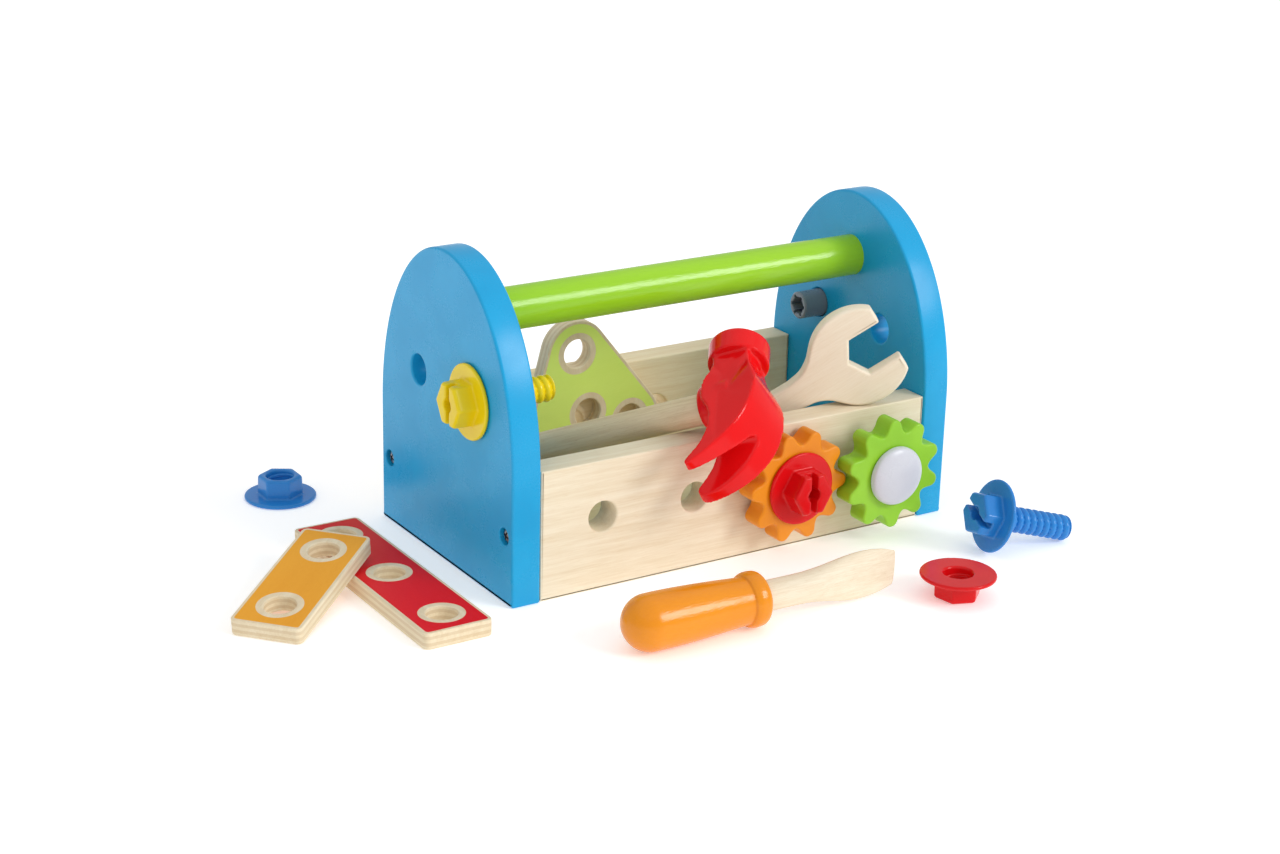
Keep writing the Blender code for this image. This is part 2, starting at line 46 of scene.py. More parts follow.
def axes(right, up, out, origin):
    return Matrix.Translation(Vector(origin)) @ Matrix((right, up, out)).transposed().to_4x4()


def aimed(direction, origin, spin=0.0, up=(0, 0, 1)):
    out = Vector(direction).normalized()
    right = Vector(up).cross(out).normalized()
    return axes(right, out.cross(right), out, origin) @ Matrix.Rotation(math.radians(spin), 4, "Z")


def arc(cx, cy, rx, ry, start, end, steps):
    angles = [math.radians(start + (end - start) * k / steps) for k in range(steps + 1)]
    return [(cx + rx * math.cos(a), cy + ry * math.sin(a)) for a in angles]


def circle(cx, cy, radius, steps=48):
    return arc(cx, cy, radius, radius, 0, 360 - 360 / steps, steps - 1)


def rectangle(x0, y0, x1, y1):
    return [(x0, y0), (x1, y0), (x1, y1), (x0, y1)]


def rounded(corners, radii, steps=6):
    # radii is one number for each corner; 0 keeps the corner.
    points = []
    for k, corner in enumerate(corners):
        radius = radii[k] if hasattr(radii, "__len__") else radii
        here = Vector(corner)
        back = Vector(corners[k - 1]) - here
        ahead = Vector(corners[(k + 1) % len(corners)]) - here
        half = back.angle(ahead) / 2
        if radius <= 0 or half > 1.56:
            points.append(tuple(here))
            continue
        reach = min(radius / math.tan(half), back.length * 0.49, ahead.length * 0.49)
        radius = reach * math.tan(half)
        centre = here + (back.normalized() + ahead.normalized()).normalized() * (radius / math.sin(half))
        first = here + back.normalized() * reach - centre
        last = here + ahead.normalized() * reach - centre
        begin = math.atan2(first.y, first.x)
        sweep = (math.atan2(last.y, last.x) - begin + math.pi) % (2 * math.pi) - math.pi
        for s in range(steps + 1):
            angle = begin + sweep * s / steps
            points.append((centre.x + radius * math.cos(angle), centre.y + radius * math.sin(angle)))
    return points


def offsetOutline(corners, radius, steps=10):
    # The outline at a distance round a convex polygon, with round corners.
    points = []
    for k, (x, y) in enumerate(corners):
        before, after = corners[k - 1], corners[(k + 1) % len(corners)]
        start = math.degrees(math.atan2(y - before[1], x - before[0])) - 90
        end = math.degrees(math.atan2(after[1] - y, after[0] - x)) - 90
        points += arc(x, y, radius, radius, start, start + (end - start) % 360, steps)
    return points


def smoothLine(points, steps=5):
    # A Catmull-Rom curve through the points, which may have any number of coordinates.
    line = []
    for k in range(len(points) - 1):
        p0, p1, p2 = points[max(k - 1, 0)], points[k], points[k + 1]
        p3 = points[min(k + 2, len(points) - 1)]
        for s in range(steps):
            t = s / steps
            line.append(tuple(
                0.5 * (2 * b + (c - a) * t + (2 * a - 5 * b + 4 * c - d) * t * t
                       + (3 * b - a - 3 * c + d) * t ** 3)
                for a, b, c, d in zip(p0, p1, p2, p3)))
    return line + [tuple(points[-1])]


def turned(profile, segments=72):
    # A closed solid of revolution about Z from (radius, height) points.
    made = bmesh.new()
    points = list(profile)
    if points[0][0] > 1e-6:
        points.insert(0, (0, points[0][1]))
    if points[-1][0] > 1e-6:
        points.append((0, points[-1][1]))
    rings = []
    for radius, height in points:
        if radius < 1e-6:
            rings.append([made.verts.new((0, 0, height))])
        else:
            steps = [2 * math.pi * k / segments for k in range(segments)]
            rings.append([made.verts.new((radius * math.cos(a), radius * math.sin(a), height))
                          for a in steps])
    for low, high in zip(rings, rings[1:]):
        for k in range(segments):
            j = (k + 1) % segments
            corners = [low[k % len(low)], low[j % len(low)], high[j % len(high)], high[k % len(high)]]
            if len(set(corners)) > 2:
                made.faces.new(list(dict.fromkeys(corners)))
    bmesh.ops.recalc_face_normals(made, faces=made.faces)
    return made


def loft(sections):
    # A closed solid through rings of equally many points.
    made = bmesh.new()
    rings = [[made.verts.new(point) for point in section] for section in sections]
    count = len(rings[0])
    for low, high in zip(rings, rings[1:]):
        for k in range(count):
            j = (k + 1) % count
            made.faces.new((low[k], low[j], high[j], high[k]))
    made.faces.new(rings[0][::-1])
    made.faces.new(rings[-1])
    bmesh.ops.recalc_face_normals(made, faces=made.faces)
    return made


def prism(outline, low, high):
    return loft([[(x, y, low) for x, y in outline], [(x, y, high) for x, y in outline]])


def outwardWays(loop, side):
    ways = []
    for k, (x, y) in enumerate(loop):
        bx, by = loop[k - 1]
        ax, ay = loop[(k + 1) % len(loop)]
        first = Vector((y - by, bx - x)).normalized()
        second = Vector((ay - y, x - ax)).normalized()
        ways.append((first + second) / max(1 + first.dot(second), 0.4) * side)
    return ways


def edgeLevels(low, high, size, steps, band):
    # (inset, height) of the rings that round an edge, with a narrow flat band at each face.
    size = min(size, (high - low) / 2 - 1e-3)
    turns = [math.pi / 2 * (1 - k / steps) for k in range(steps + 1)]
    lower = [(size * (1 - math.cos(a)), low + size * (1 - math.sin(a))) for a in turns]
    upper = [(inset, low + high - height) for inset, height in reversed(lower)]
    return [(size + band, low)] + lower + upper + [(size + band, high)]


def plate(outline, holes, low, high, rim=1.0, holeRim=0.8, steps=5, holeSteps=3, band=0.35):
    # A flat piece with rounded edges; the outline and the holes all run counterclockwise.
    made = bmesh.new()
    bottomEdges, topEdges = [], []
    loops = [(outline, rim, steps, 1)] + [(loop, holeRim, holeSteps, -1) for loop in holes]
    for loop, size, count, side in loops:
        ways = outwardWays(loop, side)
        rings = []
        for inset, height in edgeLevels(low, high, size, count, band):
            rings.append([made.verts.new((x - w.x * inset, y - w.y * inset, height))
                          for (x, y), w in zip(loop, ways)])
        for lower, upper in zip(rings, rings[1:]):
            for k in range(len(loop)):
                j = (k + 1) % len(loop)
                made.faces.new((lower[k], lower[j], upper[j], upper[k]))
        for ring, store in ((rings[0], bottomEdges), (rings[-1], topEdges)):
            store += [made.edges.get((ring[k - 1], ring[k])) for k in range(len(ring))]
    for store in (bottomEdges, topEdges):
        bmesh.ops.triangle_fill(made, use_beauty=True, use_dissolve=False, edges=store, normal=(0, 0, 1))
    bmesh.ops.recalc_face_normals(made, faces=made.faces)
    return made


def toMesh(made, name):
    mesh = bpy.data.meshes.new(name)
    made.to_mesh(mesh)
    made.free()
    return mesh


def inScene(name, data):
    held = bpy.data.objects.new(name, data)
    bpy.context.scene.collection.objects.link(held)
    return held


def applied(held, name):
    # The evaluated mesh of a working object, which is then removed.
    bpy.context.view_layer.update()
    mesh = bpy.data.meshes.new_from_object(held.evaluated_get(bpy.context.evaluated_depsgraph_get()))
    mesh.name = name
    bpy.data.objects.remove(held)
    return mesh


def carved(name, base, added=(), cut=(), voxel=0.0, passes=0):
    # base with solids added and cut, then melted into one skin with soft edges when voxel is set.
    held = inScene(name, toMesh(base, name))
    others = []
    for operation, solids in (("UNION", added), ("DIFFERENCE", cut)):
        for solid in solids:
            other = inScene(f"{name}Tool", toMesh(solid, name))
            other.hide_render = True
            step = held.modifiers.new(operation.lower(), "BOOLEAN")
            step.operation, step.object, step.solver = operation, other, "EXACT"
            others.append(other)
    if voxel:
        skin = held.modifiers.new("skin", "REMESH")
        skin.mode, skin.voxel_size = "VOXEL", voxel
    if passes:
        soft = held.modifiers.new("soft", "SMOOTH")
        soft.factor, soft.iterations = 0.5, passes
    mesh = applied(held, name)
    for other in others:
        bpy.data.objects.remove(other)
    return mesh


def merged(name, parts):
    # One mesh from (mesh or bmesh, material index) pairs.
    whole = bmesh.new()
    for part, index in parts:
        mesh = toMesh(part, name) if isinstance(part, bmesh.types.BMesh) else part
        for polygon in mesh.polygons:
            polygon.material_index = index
        whole.from_mesh(mesh)
    return toMesh(whole, name)


def finishPiece(name, shape, place, body, nodes, finishes, sharp=38):
    # Merges doubles, keeps each point's place on the piece for its grain, then puts it in the object.
    mesh = toMesh(shape, name) if isinstance(shape, bmesh.types.BMesh) else shape
    work = bmesh.new()
    work.from_mesh(mesh)
    bmesh.ops.remove_doubles(work, verts=work.verts, dist=0.002)
    bmesh.ops.recalc_face_normals(work, faces=work.faces)
    work.to_mesh(mesh)
    work.free()
    spots = [c for vertex in mesh.vertices for c in vertex.co]
    local = mesh.attributes.get("local") or mesh.attributes.new("local", "FLOAT_VECTOR", "POINT")
    local.data.foreach_set("vector", spots)
    mesh.transform(Matrix.Scale(mm, 4) @ place)
    mesh.shade_smooth()
    mesh.set_sharp_from_angle(angle=math.radians(sharp))
    painted = [polygon.material_index for polygon in mesh.polygons]
    mesh.materials.clear()
    for finishName in finishes:
        mesh.materials.append(finish[finishName])
    mesh.polygons.foreach_set("material_index", [min(index, len(finishes) - 1) for index in painted])
    piece = inScene(name, mesh)
    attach(piece, body)
    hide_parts(*nodes)


# Node helpers

def newTree(name, inputs, kind="GeometryNodeTree", outputs=(("Geometry", "Geometry"),)):
    # Returns the tree, what its input node gives, and what its output node takes.
    tree = bpy.data.node_groups.new(name, kind)
    if kind == "GeometryNodeTree":
        inputs = [("Geometry", "Geometry", None), *inputs, ("Finish", "Material", None)]
    for label, kindOf, value in inputs:
        socket = tree.interface.new_socket(label, in_out="INPUT", socket_type="NodeSocket" + kindOf)
        if value is not None:
            socket.default_value = value
    for label, kindOf in outputs:
        tree.interface.new_socket(label, in_out="OUTPUT", socket_type="NodeSocket" + kindOf)
    return tree, tree.nodes.new("NodeGroupInput").outputs, tree.nodes.new("NodeGroupOutput").inputs


def node(tree, kind, values=None, **settings):
    # A node with its settings, and its inputs from a dictionary of values or sockets.
    made = tree.nodes.new(kind)
    for key, value in settings.items():
        setattr(made, key, value)
    for key, value in (values or {}).items():
        if isinstance(value, bpy.types.NodeSocket):
            tree.links.new(value, made.inputs[key])
        else:
            made.inputs[key].default_value = value
    return made


def wire(tree, kind, values=None, **settings):
    # The first output of a new node.
    return node(tree, kind, values, **settings).outputs[0]


def endTree(tree, given, made, geometry):
    # Realizes the instances, gives them the finish and ends the tree.
    real = wire(tree, "GeometryNodeRealizeInstances", {"Geometry": geometry})
    last = wire(tree, "GeometryNodeSetMaterial", {"Geometry": real, "Material": given["Finish"]})
    tree.links.new(last, made[0])
    return tree


def calc(tree, operation, *values):
    return wire(tree, "ShaderNodeMath", dict(enumerate(values)), operation=operation)


def runTree(tree, name, values, base=None):
    # The plain mesh that a Geometry Nodes tree makes with these named inputs.
    held = inScene(name, base or bpy.data.meshes.new(name))
    step = held.modifiers.new(tree.name, "NODES")
    step.node_group = tree
    for item in tree.interface.items_tree:
        if item.in_out == "INPUT" and item.name in values:
            step[item.identifier] = values[item.name]
    return applied(held, name)


def linear(color):
    # A colour from ordinary 0-255 values.
    return tuple((c / 255 / 12.92) if c < 10 else ((c / 255 + 0.055) / 1.055) ** 2.4 for c in color) + (1.0,)


# Shader groups that the finishes share


def makeWoodGrain():
    # Long fibres, broad bands and short flecks along the way that Stretch names.
    tree, given, made = newTree("woodGrain", [
        ("Vector", "Vector", None), ("Stretch", "Vector", (0.02, 0.35, 0.35)),
        ("Light", "Color", (1, 1, 1, 1)), ("Dark", "Color", (0.5, 0.5, 0.5, 1)),
        ("Flecks", "Float", 0.5)], "ShaderNodeTree", (("Color", "Color"), ("Height", "Float")))
    way = wire(tree, "ShaderNodeVectorMath", {0: given["Vector"], 1: given["Stretch"]},
               operation="MULTIPLY")

    def layer(scale, detail, roughness, distortion=0.0):
        return wire(tree, "ShaderNodeTexNoise", {"Vector": way, "Scale": scale, "Detail": detail,
                    "Roughness": roughness, "Distortion": distortion})

    bands, fibres, fine = layer(0.45, 3, 0.55, 0.6), layer(2.6, 4, 0.65), layer(9.0, 2, 0.5)
    mix = calc(tree, "ADD", calc(tree, "MULTIPLY", bands, 0.5), calc(tree, "MULTIPLY", fibres, 0.5))
    tone = wire(tree, "ShaderNodeMapRange", {0: mix, 1: 0.36, 2: 0.66})
    spots = wire(tree, "ShaderNodeMapRange", {0: fine, 1: 0.60, 2: 0.74})
    spots = calc(tree, "MULTIPLY", spots, given["Flecks"])
    both = calc(tree, "MINIMUM", calc(tree, "ADD", calc(tree, "MULTIPLY", tone, 0.75), spots), 1.0)
    color = node(tree, "ShaderNodeMix", {0: both, 6: given["Light"], 7: given["Dark"]},
                 data_type="RGBA").outputs[2]
    tree.links.new(color, made["Color"])
    height = calc(tree, "SUBTRACT", calc(tree, "MULTIPLY", fibres, 0.6), calc(tree, "MULTIPLY", spots, 0.5))
    tree.links.new(height, made["Height"])
    return tree


def makePaintSurface():
    # The skin of paint or moulded plastic: slow patches, a fine tooth, and faint grain under it.
    tree, given, made = newTree("paintSurface", [
        ("Vector", "Vector", None), ("Stretch", "Vector", (1, 1, 1)), ("Tooth", "Float", 3.0),
        ("Patch", "Float", 0.05), ("Color", "Color", (1, 1, 1, 1)), ("Deep", "Color", (0, 0, 0, 1))],
        "ShaderNodeTree", (("Color", "Color"), ("Height", "Float"), ("Gloss", "Float")))
    way = wire(tree, "ShaderNodeVectorMath", {0: given["Vector"], 1: given["Stretch"]},
               operation="MULTIPLY")
    patches = wire(tree, "ShaderNodeTexNoise", {"Vector": way, "Scale": given["Patch"], "Detail": 3})
    tooth = wire(tree, "ShaderNodeTexNoise", {"Vector": way, "Scale": given["Tooth"], "Detail": 2,
                 "Roughness": 0.6})
    mix = calc(tree, "ADD", calc(tree, "MULTIPLY", patches, 0.75), calc(tree, "MULTIPLY", tooth, 0.25))
    tone = wire(tree, "ShaderNodeMapRange", {0: mix, 1: 0.35, 2: 0.65})
    color = node(tree, "ShaderNodeMix", {0: tone, 6: given["Color"], 7: given["Deep"]},
                 data_type="RGBA").outputs[2]
    tree.links.new(color, made["Color"])
    tree.links.new(tooth, made["Height"])
    tree.links.new(tone, made["Gloss"])
    return tree


def makePlyLayers():
    # Darker glue lines and cross layers through the thickness of a plate, along its Z.
    tree, given, made = newTree("plyLayers", [
        ("Vector", "Vector", None), ("Thickness", "Float", 8.0), ("Layers", "Float", 5.0)],
        "ShaderNodeTree", (("Mask", "Float"),))
    height = node(tree, "ShaderNodeSeparateXYZ", {0: given["Vector"]}).outputs[2]
    wobble = wire(tree, "ShaderNodeTexNoise", {"Vector": given["Vector"], "Scale": 0.12})
    place = calc(tree, "ADD", calc(tree, "DIVIDE", height, given["Thickness"]),
                 calc(tree, "MULTIPLY", calc(tree, "SUBTRACT", wobble, 0.5), 0.05))
    wave = calc(tree, "SINE", calc(tree, "MULTIPLY", calc(tree, "MULTIPLY", place, given["Layers"]), math.pi))
    mask = wire(tree, "ShaderNodeMapRange", {0: wave, 1: 0.15, 2: -0.25})
    tree.links.new(mask, made["Mask"])
    return tree


groups = {"woodGrain": makeWoodGrain(), "paintSurface": makePaintSurface(), "plyLayers": makePlyLayers()}
print("shader groups ready:", ", ".join(groups))


finish = {}


def newFinish(name, constants):
    made = bpy.data.materials.new(name)
    made.use_nodes = True
    finish[name] = made
    shader = made.node_tree.nodes["Principled BSDF"]
    for label, value in constants.items():
        shader.inputs[label].default_value = value
    return made.node_tree, shader


def pieceVector(tree, kept=False):
    # Where a point lies on its piece, in millimetres; a kept piece reads its object's own place.
    if kept:
        spot = node(tree, "ShaderNodeTexCoord").outputs["Object"]
        return wire(tree, "ShaderNodeVectorMath", {0: spot, 1: (1000, 1000, 1000)},
                    operation="MULTIPLY")
    return node(tree, "ShaderNodeAttribute", attribute_name="local").outputs["Vector"]


def bumped(tree, shader, height, strength, distance):
    bump = node(tree, "ShaderNodeBump", {"Height": height, "Strength": strength, "Distance": distance * mm})
    tree.links.new(bump.outputs[0], shader.inputs["Normal"])


def woodFinish(name, light, dark, stretch, flecks=0.5, roughness=(0.5, 0.62), relief=0.25, kept=False,
               plies=None):
    tree, shader = newFinish(name, {"Specular IOR Level": 0.4})
    spot = pieceVector(tree, kept)
    grain = node(tree, "ShaderNodeGroup", {"Vector": spot, "Stretch": stretch, "Light": linear(light),
                 "Dark": linear(dark), "Flecks": flecks}, node_tree=groups["woodGrain"])
    color = grain.outputs["Color"]
    if plies:
        layers = node(tree, "ShaderNodeGroup", {"Vector": spot, "Thickness": plies["thickness"],
                      "Layers": plies["layers"]}, node_tree=groups["plyLayers"])
        share = calc(tree, "MULTIPLY", layers.outputs["Mask"], plies["strength"])
        color = node(tree, "ShaderNodeMix", {0: share, 6: color, 7: linear(plies["color"])},
                     data_type="RGBA").outputs[2]
    tree.links.new(color, shader.inputs["Base Color"])
    rough = wire(tree, "ShaderNodeMapRange", {0: grain.outputs["Height"], 1: 0.1, 2: 0.5,
                 3: roughness[1], 4: roughness[0]})
    tree.links.new(rough, shader.inputs["Roughness"])
    bumped(tree, shader, grain.outputs["Height"], relief, 0.25)


def paintFinish(name, color, deep, roughness=(0.3, 0.42), tooth=2.2, relief=0.12, stretch=(1, 1, 1),
                specular=0.5):
    tree, shader = newFinish(name, {"Specular IOR Level": specular})
    surface = node(tree, "ShaderNodeGroup", {"Vector": pieceVector(tree), "Stretch": stretch, "Tooth": tooth,
                   "Patch": 0.04, "Color": linear(color), "Deep": linear(deep)},
                   node_tree=groups["paintSurface"])
    tree.links.new(surface.outputs["Color"], shader.inputs["Base Color"])
    rough = node(tree, "ShaderNodeMapRange", {0: surface.outputs["Gloss"], 3: roughness[0], 4: roughness[1]})
    tree.links.new(rough.outputs[0], shader.inputs["Roughness"])
    bumped(tree, shader, surface.outputs["Height"], relief, 0.2)


woods = {"light": (237, 227, 203), "dark": (219, 201, 167), "ply": (236, 222, 193), "plyDark": (196, 166, 120)}


def plastic(name, color, deep, roughness, specular):
    paintFinish(name, color, deep, roughness, tooth=1.0, relief=0.05, specular=specular)


paintFinish("panelPaint", (26, 164, 218), (22, 156, 210), (0.23, 0.33), tooth=1.2, relief=0.16,
            specular=0.28)
woodFinish("boardWood", woods["light"], woods["dark"], (0.022, 0.42, 0.42), 0.35)
# a lighter copy of the board wood for the back board and bottom: painted fill light against the shade inside
# the box
woodFinish("innerWoodPaintedFill", (250, 236, 202), (232, 208, 162), (0.022, 0.42, 0.42), 0.4)
paintFinish("handlePaint", (158, 212, 40), (148, 203, 34), (0.13, 0.21), tooth=0.9, stretch=(1, 1, 0.2),
            relief=0.45, specular=0.4)
paintFinish("greenGearPaint", (150, 208, 50), (138, 196, 42), (0.28, 0.4), tooth=2.4, specular=0.35)
paintFinish("orangeGearPaint", (236, 148, 20), (227, 136, 14), (0.28, 0.4), tooth=2.4, specular=0.35)
plastic("yellowPlastic", (240, 214, 18), (234, 206, 12), (0.18, 0.26), specular=0.35)
plastic("redPlastic", (220, 16, 22), (210, 12, 18), (0.14, 0.22), specular=0.25)
plastic("bluePlastic", (42, 134, 210), (36, 124, 200), (0.16, 0.24), specular=0.35)
plastic("greyPlastic", (208, 211, 219), (200, 203, 212), (0.24, 0.32), specular=0.4)
# the same grey plastic made darker for the pegs' stems: painted shade, not a different plastic
plastic("stemPlasticPaintedShade", (124, 136, 150), (114, 126, 140), (0.24, 0.32), specular=0.4)
paintFinish("hammerPlastic", (232, 16, 20), (224, 12, 16), (0.11, 0.17), tooth=0.8, relief=0.03,
            specular=0.25)
woodFinish("toolWood", (243, 232, 210), (231, 215, 187), (0.03, 0.5, 0.5), 0.5)
woodFinish("handleWood", (236, 218, 184), (208, 180, 138), (0.6, 0.6, 0.03), 0.6)
woodFinish("bladeWood", (240, 229, 206), (220, 200, 168), (0.6, 0.6, 0.03), 0.6)
paintFinish("driverPaint", (236, 146, 16), (228, 136, 10), (0.14, 0.22), tooth=0.9, relief=0.5,
            stretch=(1, 1, 0.3), specular=0.4)
woodFinish("plateWood", woods["ply"], (218, 196, 158), (0.4, 0.03, 0.4), 0.3,
           plies={"thickness": 8.0, "layers": 5.0, "strength": 0.38, "color": woods["plyDark"]})
paintFinish("redPrint", (226, 14, 18), (216, 10, 14), (0.36, 0.46), stretch=(1, 0.15, 1), specular=0.15)
paintFinish("orangePrint", (236, 164, 34), (228, 152, 26), (0.36, 0.46), stretch=(1, 0.15, 1), specular=0.25)
paintFinish("limePrint", (226, 248, 128), (218, 242, 116), (0.36, 0.48), stretch=(0.15, 1, 1), specular=0.3)
paintFinish("screwMetal", (150, 150, 152), (126, 126, 128), (0.28, 0.4), tooth=4.0)
woodFinish("dowelWood", woods["ply"], woods["plyDark"], (0.03, 0.5, 0.5), 0.4, kept=True)
paintFinish("floorSweep", (252, 252, 252), (250, 250, 250), (0.6, 0.7), relief=0.0, specular=0.2)
for name, label, value in (("floorSweep", "Emission Color", (1, 1, 1, 1)),
                           ("floorSweep", "Emission Strength", 0.3),
                           ("screwMetal", "Metallic", 1.0)):
    finish[name].node_tree.nodes["Principled BSDF"].inputs[label].default_value = value
print("finishes ready:", len(finish))


# The carry box

box = {"halfLength": 125.0, "panelThick": 15.0, "panelHalfDepth": 65.6, "panelHeight": 154.0,
       "archStart": 60.8, "boardHeight": 64.0, "boardOuter": 65.0, "boardThick": 15.0, "boardHalf": 109.7,
       "bottomHalfDepth": 49.7, "bottomThick": 9.0, "holeRadius": 7.5, "pitch": 51.0, "boardHoleZ": 36.0,
       "panelHoleY": 26.0, "panelHoleZ": 88.5, "screwY": 57.6, "screwZ": 33.0, "boreRadius": 4.2,
       "boreDepth": 4.0, "panelRounding": 1.3, "boardRounding": 0.7, "holeRounding": 1.0}


def endPanel(name, nodeName, side):
    half = box["panelHalfDepth"]
    rise = box["panelHeight"] - box["archStart"]
    outline = rounded(rectangle(-half, 0, half, 1), [1.5, 1.5, 0, 0])[:-2]
    outline += [(half, 20), (half, 40)] + arc(0, box["archStart"], half, rise, 0, 180, 120)
    outline += [(-half, 40), (-half, 20)]
    holes = [circle(y, box["panelHoleZ"], box["holeRadius"]) for y in (-box["panelHoleY"], box["panelHoleY"])]
    body = plate(outline, holes, 0, box["panelThick"], box["panelRounding"], box["holeRounding"], 6, 4)
    bores = []
    for y in (-box["screwY"], box["screwY"]):
        radius, depth = box["boreRadius"], box["boreDepth"]
        bore = turned([(radius + 0.4, -1), (radius + 0.4, 0), (radius, 0.4), (radius, depth)], 40)
        bore.transform(Matrix.Translation((y, box["screwZ"], 0)))
        bores.append(bore)
    place = axes((0, -side, 0), (0, 0, 1), (-side, 0, 0), (side * box["halfLength"], 0, 0))
    finishPiece(name, carved(name, body, cut=bores), place, "caddy", [nodeName], ["panelPaint"])


def sideBoard(name, nodeName, finishName, side):
    inner = box["boardOuter"] - box["boardThick"]
    outline = rounded(rectangle(-box["boardHalf"], 0, box["boardHalf"], box["boardHeight"]), 0.5, 3)
    holes = [circle(k * box["pitch"], box["boardHoleZ"], box["holeRadius"]) for k in (-1.5, -0.5, 0.5, 1.5)]
    board = plate(outline, holes, 0, box["boardThick"], box["boardRounding"], box["holeRounding"])
    place = axes((1, 0, 0), (0, 0, 1), (0, -1, 0), (0, -inner if side < 0 else box["boardOuter"], 0))
    finishPiece(name, board, place, "caddy", [nodeName], [finishName])


endPanel("leftEndPanel", "left_end_panel", -1)
endPanel("rightEndPanel", "right_end_panel", 1)
sideBoard("frontBoard", "front_board", "boardWood", -1)
# the back board and the bottom board below take the lighter wood copy: painted fill light inside the box
sideBoard("backBoard", "back_board", "innerWoodPaintedFill", 1)
long, deep = box["boardHalf"], box["bottomHalfDepth"]
bottom = plate(rectangle(-long, -deep, long, deep), [], 0, box["bottomThick"], 0.6)
finishPiece("bottomBoard", bottom, Matrix.Identity(4), "caddy", ["bottom_board"], ["innerWoodPaintedFill"])

carry = {"radius": 10.5, "half": 111.0, "height": 121.0, "rounding": 0.8}
thick, end, edge = carry["radius"], carry["half"], carry["rounding"]
rod = [(thick - edge, -end), (thick, -end + edge)] + [(thick, z) for z in (-80, -40, 0, 40, 80)]
rod += [(r, -z) for r, z in reversed(rod[:2])]
finishPiece("carryHandle", turned(rod, 96), aimed((1, 0, 0), (0, 0, carry["height"])), "caddy",
            ["carry_handle"], ["handlePaint"])
print("box pieces ready")


# The box's screws, set by a tree at the four places

screw = {"headRadius": 3.7, "headHeight": 2.6, "shank": 1.8, "length": 32.0, "cross": 0.9, "crossDepth": 1.5}


def makeScrewSetter():
    # Sets one screw at each point, driven inwards along X.
    tree, given, made = newTree("screwSetter", [("Screw", "Object", None)])
    spot = wire(tree, "GeometryNodeInputPosition")
    x = wire(tree, "ShaderNodeSeparateXYZ", {0: spot})
    inwards = calc(tree, "MULTIPLY", calc(tree, "SIGN", x), -1.0)
    inwards = wire(tree, "ShaderNodeCombineXYZ", {0: inwards})
    turn = wire(tree, "FunctionNodeAlignRotationToVector", {"Vector": inwards}, axis="Z")
    shape = node(tree, "GeometryNodeObjectInfo", {"Object": given["Screw"]})
    points = wire(tree, "GeometryNodeMeshToPoints", {"Mesh": given["Geometry"]})
    placed = wire(tree, "GeometryNodeInstanceOnPoints", {
        "Points": points, "Instance": shape.outputs["Geometry"], "Rotation": turn})
    return endTree(tree, given, made, placed)


head, height, shank = screw["headRadius"], screw["headHeight"], screw["shank"]
body = turned(smoothLine([(0, -height), (head * 0.45, -height * 0.95), (head * 0.85, -height * 0.7),
                          (head, -height * 0.3), (head, 0)], 4) + [(shank, 0), (shank, screw["length"] - 3),
              (0.2, screw["length"])], 32)
slots = []
for turn in (0, 90):
    slot = prism(rectangle(-screw["cross"] / 2, -2.1, screw["cross"] / 2, 2.1), -height - 1,
                 -height + screw["crossDepth"])
    slot.transform(Matrix.Rotation(math.radians(turn + 20), 4, "Z"))
    slots.append(slot)
oneScrew = inScene("oneScrew", carved("oneScrew", body, cut=slots))
seat = box["halfLength"] - box["boreDepth"] + 0.3
spots = bpy.data.meshes.new("screwSpots")
spots.from_pydata([(s * seat, r * box["screwY"], box["screwZ"]) for s in (-1, 1) for r in (-1, 1)], [], [])
screws = runTree(makeScrewSetter(), "boxScrews", {"Screw": oneScrew, "Finish": finish["screwMetal"]}, spots)
bpy.data.objects.remove(oneScrew)
screwNodes = [f"{row}_{end}_screw" for row in ("front", "back") for end in ("left", "right")]
finishPiece("boxScrews", screws, Matrix.Identity(4), "caddy", screwNodes, ["screwMetal"])
for name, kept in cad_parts.items():
    if name.endswith("_dowel"):
        kept.data.materials.clear()
        kept.data.materials.append(finish["dowelWood"])
print("box screws and dowels ready")


# Bolts and nuts

fastener = {"flangeRadius": 18.0, "flangeThick": 1.8, "hexHeight": 10.3, "hexFlats": 19.5, "slotWidth": 3.4,
            "slotDepth": 5.5, "centreRadius": 3.4, "centreDepth": 7.5, "threadLength": 42.5, "crest": 6.5,
            "root": 5.0, "pitch": 3.95, "tip": 5.2, "overlap": 0.8, "bore": 6.9, "voxel": 0.42, "softening": 4}
headHeight = fastener["flangeThick"] + fastener["hexHeight"]


